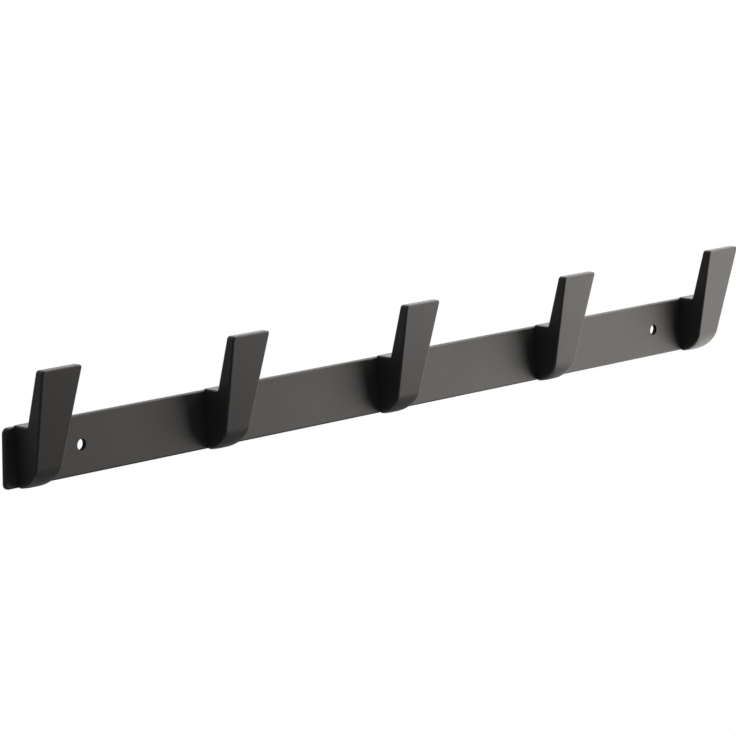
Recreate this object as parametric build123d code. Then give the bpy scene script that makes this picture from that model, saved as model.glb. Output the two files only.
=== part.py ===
from build123d import *
import os
from math import cos, radians, sin, tan

# Hook rail: a flat steel strip that carries a row of cast coat hooks. A screw from behind holds each hook,
# and a peg that is cast on its back keeps it upright.
# X runs along the strip, the wall is at Y = 0 and the hooks point to -Y. Z = 0 is the strip's middle line.

# Strip
RAIL_HEIGHT = 25.0
RAIL_THICKNESS = 2.0
RAIL_CORNER_RADIUS = 2.5
RAIL_FRONT_RADIUS = 0.9
RAIL_BACK_BEVEL = 0.4
END_MARGIN = 13.6

# Wall screw holes, one inside each end hook
WALL_HOLE_DIAMETER = 4.8
WALL_HOLE_INSET = 28.3

# Row of hooks
HOOK_COUNT = 5
HOOK_SPACING = 107.5

# Hook seen from its side
HOOK_OVERHANG = 0.7
SEAT_DEPTH = 7.65
SEAT_RADIUS = 1.2
PRONG_ROOT = 6.85
PRONG_TIP = 4.1
PRONG_HEIGHT = 24.2
FRONT_LEAN = 11.65
UNDERSIDE_RISE = 12.0
TOE_RADIUS = 12.0

# Hook seen from the front
HOOK_WIDTH = 15.0
SIDE_TAPER = 5.15
TIP_CORNER_RADIUS = 1.3
HOOK_EDGE_BEVEL = 0.5

# Countersunk screw with a hexagon socket, one behind each hook
SCREW_HEIGHT = 6.0
SCREW_DIAMETER = 3.0
SCREW_LENGTH = 6.0
HEAD_DIAMETER = 5.5
HEAD_RECESS = 0.1
SOCKET_SIZE = 2.0
SOCKET_DEPTH = 1.0
SCREW_CLEARANCE = 0.05
TIP_CLEARANCE = 0.6

# Peg on the hook's back, in a hole below the screw
PEG_DIAMETER = 4.0
PEG_DROP = 12.0
PEG_RECESS = 0.3
PEG_CLEARANCE = 0.1

# A rounding or a bevel takes at most this share of the wall that it is on, from each side
EDGE_SHARE = 0.45

floor_z = RAIL_HEIGHT / 2 + HOOK_OVERHANG
tip_z = floor_z + PRONG_HEIGHT
row_length = (HOOK_COUNT - 1) * HOOK_SPACING
hook_places = [-row_length / 2 + HOOK_SPACING * place for place in range(HOOK_COUNT)]
wall_hole_x = row_length / 2 - WALL_HOLE_INSET
peg_height = SCREW_HEIGHT - PEG_DROP

# The strip's back face, with depth counted from the wall towards the front.
BACK = Plane.XZ
# A hook's side view, with reach counted from the strip's front face and height from the middle line.
SIDE_VIEW = Plane(origin=(0, -RAIL_THICKNESS, 0), x_dir=(0, -1, 0), z_dir=(-1, 0, 0))


def turned(points):
    """A body of revolution about Z from (radius, height) points."""
    return revolve(Plane.XZ * make_face(Polyline(*points, close=True)), Axis.Z)


def screw():
    """One screw, with its head's face at Z = 0 and its tip up."""
    head = HEAD_DIAMETER / 2
    shank = SCREW_DIAMETER / 2
    body = turned([(0, 0), (head, 0), (shank, head - shank), (shank, SCREW_LENGTH), (0, SCREW_LENGTH)])
    socket = extrude(RegularPolygon(SOCKET_SIZE / 2, 6, major_radius=False), SOCKET_DEPTH)
    return body - socket


def screw_hole(depth):
    """The countersunk hole that clears a screw, from the strip's back face to the given depth."""
    mouth = HEAD_DIAMETER / 2 + SCREW_CLEARANCE + HEAD_RECESS
    shank = SCREW_DIAMETER / 2 + SCREW_CLEARANCE
    return turned([(0, 0), (mouth, 0), (shank, mouth - shank), (shank, depth), (0, depth)])


def rail():
    """The strip, with a rounded front rim, its wall holes and the screw and peg holes behind each hook."""
    length = row_length + 2 * END_MARGIN
    blank = extrude(BACK * RectangleRounded(length, RAIL_HEIGHT, RAIL_CORNER_RADIUS), RAIL_THICKNESS)
    largest_edge = EDGE_SHARE * RAIL_THICKNESS
    front_rim = blank.edges().group_by(Axis.Y)[0]
    strip = fillet(front_rim, min(RAIL_FRONT_RADIUS, largest_edge))
    back_rim = strip.edges().group_by(Axis.Y)[-1]
    strip = chamfer(back_rim, min(RAIL_BACK_BEVEL, largest_edge))
    holes = [Pos(x, 0) * Circle(WALL_HOLE_DIAMETER / 2) for x in (-wall_hole_x, wall_hole_x)]
    holes += [Pos(x, peg_height) * Circle(PEG_DIAMETER / 2 + PEG_CLEARANCE) for x in hook_places]
    for hole in holes:
        strip -= extrude(BACK * hole, RAIL_THICKNESS)
    for x in hook_places:
        strip -= BACK * Pos(x, SCREW_HEIGHT) * screw_hole(RAIL_THICKNESS)
    return strip


def hook_side():
    """The hook's outline from its side: heel, round toe, leaning front, tip, tapering back and flat seat."""
    lean = radians(FRONT_LEAN)
    root = SEAT_DEPTH + PRONG_ROOT
    tip = root + PRONG_HEIGHT * tan(lean)
    rise = radians(UNDERSIDE_RISE)
    # The underside climbs from the heel until it meets the front face.
    underside = (root - 2 * floor_z * tan(lean)) / (cos(rise) - sin(rise) * tan(lean))
    toe = (underside * cos(rise), underside * sin(rise) - floor_z)
    seat = (SEAT_DEPTH, floor_z)
    outline = make_face(
        Polyline((0, -floor_z), toe, (tip, tip_z), (tip - PRONG_TIP, tip_z), seat, (0, floor_z), close=True)
    )
    toe_turn = radians(90 - FRONT_LEAN - UNDERSIDE_RISE)
    largest_toe = 2 * EDGE_SHARE * underside / tan(toe_turn / 2)
    toe_corner = outline.vertices().sort_by_distance((*toe, 0))[0]
    outline = fillet(toe_corner, min(TOE_RADIUS, largest_toe))
    seat_corner = outline.vertices().sort_by_distance((*seat, 0))[0]
    return fillet(seat_corner, SEAT_RADIUS)


def hook_front():
    """The hook's outline from the front: it widens evenly towards a tip with round corners."""
    top = HOOK_WIDTH / 2 + tip_z * tan(radians(SIDE_TAPER))
    bottom = HOOK_WIDTH / 2 - floor_z * tan(radians(SIDE_TAPER))
    outline = make_face(
        Polyline((-bottom, -floor_z), (bottom, -floor_z), (top, tip_z), (-top, tip_z), close=True)
    )
    return fillet(outline.vertices().group_by(Axis.Y)[-1], TIP_CORNER_RADIUS)


def hook():
    """One hook at X = 0: the side view and the front view cut each other, then the outer edges are bevelled."""
    front = hook_front()
    side = hook_side()
    body = extrude(SIDE_VIEW * side, front.bounding_box().size.X / 2, both=True)
    body &= extrude(BACK * front, RAIL_THICKNESS + side.bounding_box().size.X)
    back_edges = body.edges().group_by(Axis.Y)[-1]
    across = body.edges().filter_by(Axis.X)
    tip_edges = across.group_by(Axis.Z)[-1]
    along_depth = body.edges().filter_by(Axis.Y)
    corner_seams = along_depth.filter_by_position(Axis.Z, floor_z + SEAT_RADIUS, tip_z)
    side_edges = [edge for edge in body.edges() if edge not in back_edges + across + corner_seams]
    body = chamfer(side_edges + tip_edges, min(HOOK_EDGE_BEVEL, EDGE_SHARE * PRONG_TIP))
    body -= BACK * Pos(0, SCREW_HEIGHT) * screw_hole(HEAD_RECESS + SCREW_LENGTH + TIP_CLEARANCE)
    peg = Pos(0, peg_height, PEG_RECESS) * Circle(PEG_DIAMETER / 2)
    return body + extrude(BACK * peg, RAIL_THICKNESS - PEG_RECESS)


os.makedirs("parts", exist_ok=True)
export_step(rail(), "parts/rail.step")
one_hook = hook()
for number, x in enumerate(hook_places, start=1):
    export_step(Pos(x, 0, 0) * one_hook, f"parts/hook_{number}.step")
one_screw = screw()
screws = [BACK * Pos(x, SCREW_HEIGHT, HEAD_RECESS) * one_screw for x in hook_places]
export_step(Compound(children=screws), "parts/hook_screws.step")
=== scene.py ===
from math import cos, radians, sin, tan

import bmesh
import bpy
from mathutils import Matrix, Vector


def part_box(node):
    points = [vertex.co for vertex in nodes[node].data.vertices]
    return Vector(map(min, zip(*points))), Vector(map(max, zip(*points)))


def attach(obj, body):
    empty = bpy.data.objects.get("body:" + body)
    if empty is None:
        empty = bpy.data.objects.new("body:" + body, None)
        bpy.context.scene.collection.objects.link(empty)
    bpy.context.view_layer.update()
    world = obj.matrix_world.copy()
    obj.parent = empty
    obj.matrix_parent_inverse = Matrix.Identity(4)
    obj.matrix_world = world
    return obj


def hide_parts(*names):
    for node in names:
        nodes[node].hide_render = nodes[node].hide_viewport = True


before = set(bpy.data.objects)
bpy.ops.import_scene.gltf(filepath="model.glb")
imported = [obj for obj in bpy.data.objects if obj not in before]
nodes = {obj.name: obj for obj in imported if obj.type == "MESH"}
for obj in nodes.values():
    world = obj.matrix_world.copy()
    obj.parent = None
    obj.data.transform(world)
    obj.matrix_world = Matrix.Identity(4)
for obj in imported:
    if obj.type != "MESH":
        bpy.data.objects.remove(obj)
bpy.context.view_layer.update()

# Rail: one flat steel strip, cut to length, with a rounded front rim and two plain wall holes.
# It has a matt black powder coat, baked on, with the fine orange peel and dull grain of such a coat.
# The walls of the two wall holes get painted shade, a darkened colour, and are made duller.
COAT_BLACK = (0.053, 0.0527, 0.052, 1.0)
COAT_GLOSS = {"Specular IOR Level": 0.5}
WALL_HOLE_PLACE = (0.1867, 0.0, 0.0)
WALL_HOLE_RADIUS = 0.00242
WALL_HOLE_RIM = 0.00010


class Value:
    """A value that changes over a surface. An expression on values adds its Math nodes to the material."""

    def __init__(self, tree, socket=None):
        self.tree = tree
        self.socket = socket

    def node(self, kind, settings, sockets, output=0):
        """Adds a node, sets it up, fills its sockets with numbers or links, and gives one output."""
        made = self.tree.nodes.new(kind)
        for name, setting in settings.items():
            setattr(made, name, setting)
        for name, value in sockets.items():
            if isinstance(value, Value):
                self.tree.links.new(value.socket, made.inputs[name])
            else:
                made.inputs[name].default_value = value
        return Value(self.tree, made.outputs[output])

    def math(self, operation, first, second):
        """Adds a Math node for two values or numbers."""
        return self.node("ShaderNodeMath", {"operation": operation}, {0: first, 1: second})

    def __add__(self, other):
        return self.math("ADD", self, other)

    def __radd__(self, other):
        return self.math("ADD", other, self)

    def __sub__(self, other):
        return self.math("SUBTRACT", self, other)

    def __rsub__(self, other):
        return self.math("SUBTRACT", other, self)

    def __mul__(self, other):
        return self.math("MULTIPLY", self, other)

    def __rmul__(self, other):
        return self.math("MULTIPLY", other, self)

    def ramp(self, value, low, high):
        """Rises smoothly from 0 to 1 while a value goes from low to high."""
        return self.node(
            "ShaderNodeMapRange",
            {"interpolation_type": "SMOOTHSTEP"},
            {"Value": value, "From Min": low, "From Max": high},
            "Result",
        )

    def feed(self, name):
        """Links this value to a socket of the material's own shader."""
        self.tree.links.new(self.socket, self.tree.nodes["Principled BSDF"].inputs[name])


def new_material(name, constants):
    """A material whose shader has these constant sockets, and an empty value to build its patterns from."""
    material = bpy.data.materials.new(name)
    material.use_nodes = True
    shader = material.node_tree.nodes["Principled BSDF"]
    for socket, value in constants.items():
        shader.inputs[socket].default_value = value
    return material, Value(material.node_tree)


def noise(start, size, detail):
    """Soft noise from -0.5 to 0.5 whose patches are about this many metres across."""
    place = start.node("ShaderNodeTexCoord", {}, {}, "Object")
    sockets = {"Vector": place, "Scale": 1 / size, "Detail": detail}
    return start.node("ShaderNodeTexNoise", {}, sockets, "Fac") - 0.5


def bump(start, relief, depth):
    """Raises a surface in its material, by a relief of about this depth in metres."""
    start.node("ShaderNodeBump", {}, {"Strength": 1.0, "Distance": depth, "Height": relief}).feed("Normal")


def vector_math(start, operation, first, second):
    """Adds a Vector Math node that gives a vector."""
    return start.node("ShaderNodeVectorMath", {"operation": operation}, {0: first, 1: second})


def length(start, vector):
    """The length of a vector."""
    return start.node("ShaderNodeVectorMath", {"operation": "LENGTH"}, {0: vector}, "Value")


def wall_hole(start):
    """1 on the walls of the two wall holes and 0 elsewhere."""
    place = start.node("ShaderNodeTexCoord", {}, {}, "Object")
    either_end = start.node("ShaderNodeVectorMath", {"operation": "ABSOLUTE"}, {0: place})
    off_axis = vector_math(start, "SUBTRACT", either_end, WALL_HOLE_PLACE)
    radius = length(start, vector_math(start, "MULTIPLY", off_axis, (1.0, 0.0, 1.0)))
    return 1 - start.ramp(radius, WALL_HOLE_RADIUS, WALL_HOLE_RADIUS + WALL_HOLE_RIM)


def powder_coat(start, peel_depth, hole_walls=0.0):
    """Matt black coat with faint clouds, dull grain and orange peel. The last argument is 1 where the colour
    gets painted shade and the coat is made duller.
    """
    dull = 0.47
    dull_change = 0.10
    cloud_strength = 0.16
    grain_strength = 0.22
    grain_relief = 0.35
    # How much darker the hole walls are painted, as painted shade, and how much duller they are.
    painted_hole_shade = 0.85
    hole_wall_dull = 0.50
    cloud = noise(start, size=0.030, detail=2.0)
    peel = noise(start, size=0.0011, detail=1.0)
    grain = noise(start, size=0.00030, detail=2.0)
    # The colour's tone varies at random with the clouds and grain, and is darkened on the hole walls as
    # painted shade.
    tone_and_painted_shade = 1 + cloud_strength * cloud + grain_strength * grain - painted_hole_shade * hole_walls
    start.node(
        "ShaderNodeMix",
        {"data_type": "RGBA", "blend_type": "MULTIPLY"},
        {"Factor": 1.0, "A": COAT_BLACK, "B": tone_and_painted_shade},
        "Result",
    ).feed("Base Color")
    (dull + dull_change * cloud + dull_change * grain + hole_wall_dull * hole_walls).feed("Roughness")
    bump(start, peel + grain_relief * grain, peel_depth)


# The rail's coat gets painted shade on the walls of its wall holes.
rail_coat, start = new_material("rail_coat", COAT_GLOSS)
powder_coat(start, peel_depth=0.000008, hole_walls=wall_hole(start))
nodes["rail"].data.materials[0] = rail_coat

# Hooks: zinc castings, each a block on the strip with a prong that leans out and widens to its tip.
# The mould rounds the outer edges, crowns the underside and adds a peg that sits in a hole of the strip.
# They are coated like the strip, but a casting is less flat than rolled steel, so its peel is deeper.
MM = 0.001
# Sizes from here are in millimetres, with heights counted from the strip's middle line.
rail_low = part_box("rail")[0]
hook_low, hook_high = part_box("hook_1")
STRIP_FRONT = -rail_low.y / MM
SEAT_HEIGHT = -hook_low.z / MM
TIP_HEIGHT = hook_high.z / MM
SEAT_DEPTH = 7.65
SEAT_RADIUS = 1.2
PRONG_ROOT = 6.85
PRONG_TIP = 4.1
FRONT_LEAN = radians(11.65)
UNDERSIDE_RISE = radians(12.0)
TOE_RADIUS = 12.0
HALF_WIDTH = 7.5
SIDE_TAPER = radians(5.15)
TIP_CORNER_RADIUS = 1.3
EDGE_RADIUS = 0.85
CROWN = 0.75
CROWN_START = -4.0
CROWN_FULL = -10.0
CROWN_POWER = 4
CROWN_CUTS = (-0.85, -0.65, -0.4, 0.4, 0.65, 0.85)
SHARP_TURN = radians(40)
SMOOTH_TURN = radians(30)
CLOSE = 0.01
PEG_DIAMETER = 4.0
PEG_HEIGHT = -6.0
PEG_RECESS = 0.3
PEG_ROOT = 1.0
SCREW_HEIGHT = 6.0
SCREW_HOLE_DIAMETER = 3.1
SCREW_HOLE_DEPTH = 6.7
BAR_SIDES = 48
HOOK_COUNT = 5


def corner_place(reach, height):
    """A corner of the hook's side outline, from its reach off the strip and its height."""
    return Vector((-HALF_WIDTH, -STRIP_FRONT - reach, height)) * MM


front = SEAT_DEPTH + PRONG_ROOT
tip = front + (TIP_HEIGHT - SEAT_HEIGHT) * tan(FRONT_LEAN)
# The underside climbs from the heel until it meets the leaning front, at the toe.
underside = front - 2 * SEAT_HEIGHT * tan(FRONT_LEAN)
underside /= cos(UNDERSIDE_RISE) - sin(UNDERSIDE_RISE) * tan(FRONT_LEAN)
toe = corner_place(underside * cos(UNDERSIDE_RISE), underside * sin(UNDERSIDE_RISE) - SEAT_HEIGHT)
seat = corner_place(SEAT_DEPTH, SEAT_HEIGHT)
side_outline = [
    corner_place(0.0, -SEAT_HEIGHT),
    toe,
    corner_place(tip, TIP_HEIGHT),
    corner_place(tip - PRONG_TIP, TIP_HEIGHT),
    seat,
    corner_place(0.0, SEAT_HEIGHT),
]

bpy.ops.object.select_all(action="DESELECT")
bpy.ops.mesh.primitive_circle_add(vertices=len(side_outline), radius=HALF_WIDTH * MM, fill_type="NGON")
casting = bpy.context.object
bpy.ops.object.mode_set(mode="EDIT")
shape = bmesh.from_edit_mesh(casting.data)
for corner, place in zip(shape.verts, side_outline):
    corner.co = place
bmesh.update_edit_mesh(casting.data)
bpy.ops.mesh.select_all(action="SELECT")
bpy.ops.mesh.extrude_region_move(TRANSFORM_OT_translate={"value": (2 * HALF_WIDTH * MM, 0.0, 0.0)})
bpy.ops.mesh.select_all(action="SELECT")
bpy.ops.mesh.normals_make_consistent(inside=False)


def is_along(edge, place):
    """Whether an edge runs across the hook at a corner of its side outline."""
    return all((corner.co - place).yz.length < CLOSE * MM for corner in edge.verts)


def is_tip_corner(edge):
    """Whether an edge is the left or the right corner of the prong's tip."""
    first, second = (corner.co for corner in edge.verts)
    at_tip = min(first.z, second.z) > (TIP_HEIGHT - CLOSE) * MM
    return at_tip and abs(first.x - second.x) < CLOSE * MM


def is_outer(edge):
    """Whether an edge is sharp and stands off the strip."""
    on_strip = all(corner.co.y > -(STRIP_FRONT + CLOSE) * MM for corner in edge.verts)
    return edge.calc_face_angle() > SHARP_TURN and not on_strip


def round_off(piece, wanted, radius, steps):
    """Rounds the wanted edges of a piece, in edit mode, to a radius."""
    bpy.ops.mesh.select_mode(type="EDGE")
    bpy.ops.mesh.select_all(action="DESELECT")
    shape = bmesh.from_edit_mesh(piece.data)
    chosen = [edge for edge in shape.edges if wanted(edge)]
    turn = sum(edge.calc_face_angle() for edge in chosen) / len(chosen)
    for edge in chosen:
        edge.select_set(True)
    bmesh.update_edit_mesh(piece.data)
    bpy.ops.mesh.bevel(offset=radius * MM * tan(turn / 2), segments=steps, affect="EDGES")


round_off(casting, lambda edge: is_along(edge, toe), TOE_RADIUS, steps=14)
round_off(casting, lambda edge: is_along(edge, seat), SEAT_RADIUS, steps=6)

# Cuts along the toe and the underside let them curve up towards the sides. The sides then get their taper.
for share in CROWN_CUTS:
    bpy.ops.mesh.select_mode(type="FACE")
    bpy.ops.mesh.select_all(action="DESELECT")
    shape = bmesh.from_edit_mesh(casting.data)
    for face in shape.faces:
        face.select_set(face.normal.z < -sin(FRONT_LEAN) - CLOSE)
    bmesh.update_edit_mesh(casting.data)
    bpy.ops.mesh.bisect(plane_co=(share * HALF_WIDTH * MM, 0.0, 0.0), plane_no=(1.0, 0.0, 0.0))
shape = bmesh.from_edit_mesh(casting.data)
for corner in shape.verts:
    across = corner.co.x / (HALF_WIDTH * MM)
    depth = (CROWN_START - corner.co.z / MM) / (CROWN_START - CROWN_FULL)
    corner.co.z += CROWN * MM * min(max(depth, 0.0), 1.0) * across**CROWN_POWER
    corner.co.x = across * (HALF_WIDTH * MM + corner.co.z * tan(SIDE_TAPER))
bmesh.update_edit_mesh(casting.data)

round_off(casting, is_tip_corner, TIP_CORNER_RADIUS, steps=6)
round_off(casting, is_outer, EDGE_RADIUS, steps=5)
bpy.ops.object.mode_set(mode="OBJECT")


def round_bar(diameter, near, far, height):
    """A round bar at a height, square to the wall, from one depth off the wall to another."""
    bpy.ops.object.select_all(action="DESELECT")
    bpy.ops.mesh.primitive_cylinder_add(
        vertices=BAR_SIDES,
        radius=diameter / 2 * MM,
        depth=(far - near) * MM,
        location=(0.0, -(near + far) / 2 * MM, height * MM),
        rotation=(radians(90), 0.0, 0.0),
    )
    return bpy.context.object


def combine(piece, bar, operation):
    """Joins a bar to a piece or cuts it out, and clears the bar away."""
    change = piece.modifiers.new("change", "BOOLEAN")
    change.object = bar
    change.operation = operation
    bpy.context.view_layer.objects.active = piece
    bpy.ops.object.modifier_apply(modifier=change.name)
    bpy.data.objects.remove(bar)


combine(casting, round_bar(PEG_DIAMETER, PEG_RECESS, STRIP_FRONT + PEG_ROOT, PEG_HEIGHT), "UNION")
combine(casting, round_bar(SCREW_HOLE_DIAMETER, 0.0, SCREW_HOLE_DEPTH, SCREW_HEIGHT), "DIFFERENCE")
bpy.ops.object.select_all(action="DESELECT")
casting.select_set(True)
bpy.ops.object.shade_smooth_by_angle(angle=SMOOTH_TURN)
flats = casting.modifiers.new("flats", "WEIGHTED_NORMAL")
flats.keep_sharp = True
bpy.ops.object.modifier_apply(modifier=flats.name)

hook_coat, start = new_material("hook_coat", COAT_GLOSS)
powder_coat(start, peel_depth=0.000010)
casting.data.materials.append(hook_coat)
for number in range(1, HOOK_COUNT + 1):
    hook = casting.copy()
    hook.data = casting.data.copy()
    hook.name = f"hook_casting_{number}"
    bpy.context.collection.objects.link(hook)
    left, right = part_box(f"hook_{number}")
    hook.data.transform(Matrix.Translation(((left.x + right.x) / 2, 0.0, 0.0)))
    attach(hook, "root")
    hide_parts(f"hook_{number}")
bpy.data.objects.remove(casting)

# Hook screws: countersunk steel screws with a hexagon socket, zinc-plated, driven from behind.
# Plating leaves them bright, but blotchy and not quite smooth.
ZINC = (0.62, 0.63, 0.64, 1.0)
ZINC_DULL = 0.39
ZINC_DULL_CHANGE = 0.22
screw_zinc, start = new_material("screw_zinc", {"Base Color": ZINC, "Metallic": 1.0})
blotch = noise(start, size=0.0012, detail=3.0)
(ZINC_DULL + ZINC_DULL_CHANGE * blotch).feed("Roughness")
bump(start, blotch, depth=0.000006)
nodes["hook_screws"].data.materials[0] = screw_zinc

# Stage: a plain pale floor, as far down as under a coat rail on a wall, that takes the faint shadow.
# Most of its white is its own, so it meets the white studio evenly, and it fades out into it all round.
FLOOR_DROP = 1.30
FLOOR_SIZE = 2.0
FADE_START = 0.35
FADE_END = 0.75
FLOOR_PAINT = (0.60, 0.60, 0.59, 1.0)
FLOOR_DULL = 0.9
OWN_WHITE = 0.80
WHITE = (1.0, 1.0, 1.0, 1.0)


def ray(start, kind):
    """1 for one kind of ray and 0 for the others."""
    return start.node("ShaderNodeLightPath", {}, {}, f"Is {kind} Ray")


bpy.ops.object.select_all(action="DESELECT")
bpy.ops.mesh.primitive_plane_add(size=FLOOR_SIZE, location=(0.0, 0.0, -FLOOR_DROP))
bpy.ops.object.transform_apply(location=True)
floor = bpy.context.object
floor.name = "floor"
floor_paint, start = new_material("floor_paint", {"Base Color": FLOOR_PAINT, "Roughness": FLOOR_DULL})
place = start.node("ShaderNodeTexCoord", {}, {}, "Object")
radius = length(start, vector_math(start, "MULTIPLY", place, (1.0, 1.0, 0.0)))
fade = start.ramp(radius, FADE_START, FADE_END)
lit = Value(start.tree, start.tree.nodes["Principled BSDF"].outputs["BSDF"])
glow = start.node("ShaderNodeEmission", {}, {"Color": WHITE, "Strength": 1.0})
seen = start.math("MAXIMUM", ray(start, "Camera"), ray(start, "Transmission"))
seen = start.math("MAXIMUM", seen, ray(start, "Glossy"))
pale = start.node("ShaderNodeMixShader", {}, {0: OWN_WHITE * seen, 1: lit, 2: glow})
clear = start.node("ShaderNodeBsdfTransparent", {}, {})
fading = start.node("ShaderNodeMixShader", {}, {0: fade, 1: pale, 2: clear})
start.tree.links.new(fading.socket, start.tree.nodes["Material Output"].inputs["Surface"])
floor.data.materials.append(floor_paint)

# Studio: dim all round, so that the sides turned away from the lamps stay nearly black.
# Its backdrop is white: the camera sees it everywhere, and gloss finds it behind and above the rail.
STUDIO_LEVEL = 0.12
BACKDROP_WAY = (0.38, 0.75, 0.54)
BACKDROP_EDGE = (-0.10, 0.90)
world = bpy.data.worlds.new("studio")
world.use_nodes = True
bpy.context.scene.world = world
start = Value(world.node_tree)
way = start.node("ShaderNodeTexCoord", {}, {}, "Generated")
sides = {0: way, 1: BACKDROP_WAY}
facing = start.node("ShaderNodeVectorMath", {"operation": "DOT_PRODUCT"}, sides, "Value")
behind = start.ramp(facing, *BACKDROP_EDGE)
seen = start.math("MAXIMUM", ray(start, "Camera"), ray(start, "Transmission"))
seen = start.math("MAXIMUM", seen, ray(start, "Glossy") * behind)
background = world.node_tree.nodes["Background"]
background.inputs["Color"].default_value = WHITE
level = STUDIO_LEVEL + (1 - STUDIO_LEVEL) * seen
world.node_tree.links.new(level.socket, background.inputs["Strength"])

# Lamps: a warm soft panel near the rail's right end lights the fronts, more brightly towards that end.
# Two more light the tops: one from behind on the right, one from above for the rounded upper edges.
# A small one, low behind the last hook, shines under its toe.
LAMP_COLOUR = (1.0, 0.955, 0.91)


def soft_panel(name, place, aim, width, height, watts):
    """A rectangular area lamp at a place, turned towards its aim."""
    data = bpy.data.lights.new(name, "AREA")
    data.shape = "RECTANGLE"
    data.size = width
    data.size_y = height
    data.energy = watts
    data.color = LAMP_COLOUR
    lamp = bpy.data.objects.new(name, data)
    bpy.context.collection.objects.link(lamp)
    lamp.location = place
    lamp.rotation_euler = (Vector(aim) - Vector(place)).to_track_quat("-Z", "Y").to_euler()


soft_panel("right_panel", (0.44, -0.33, 0.03), aim=(0.0, -0.33, 0.03), width=0.66, height=0.52, watts=3.0)
soft_panel("back_panel", (0.90, 0.75, 0.50), aim=(0.0, 0.0, 0.0), width=0.80, height=0.80, watts=3.0)
soft_panel("top_panel", (0.55, -0.15, 0.60), aim=(0.0, 0.0, 0.0), width=0.50, height=0.50, watts=4.0)
soft_panel("low_panel", (0.34, 0.03, -0.105), aim=(0.215, -0.01, -0.01), width=0.14, height=0.09, watts=0.10)

# Camera: a long lens, a little above the rail and to its left, as in the photograph.
# Its place, its turns and its focal length are fitted to the rail's edges there.
IMAGE_PX = 736
FOCAL_PX = 3940.0
SENSOR_MM = 36.0
CAMERA_PLACE = (-1.2652, -1.1253, 0.3084)
LOOK_DOWN = 10.118
TURN_RIGHT = 48.071
camera_data = bpy.data.cameras.new("camera")
camera_data.sensor_width = SENSOR_MM
camera_data.lens = FOCAL_PX * SENSOR_MM / IMAGE_PX
camera = bpy.data.objects.new("camera", camera_data)
bpy.context.collection.objects.link(camera)
camera.location = CAMERA_PLACE
camera.rotation_euler = (radians(90 - LOOK_DOWN), 0.0, radians(-TURN_RIGHT))
bpy.context.scene.camera = camera
bpy.context.scene.view_settings.view_transform = "Standard"
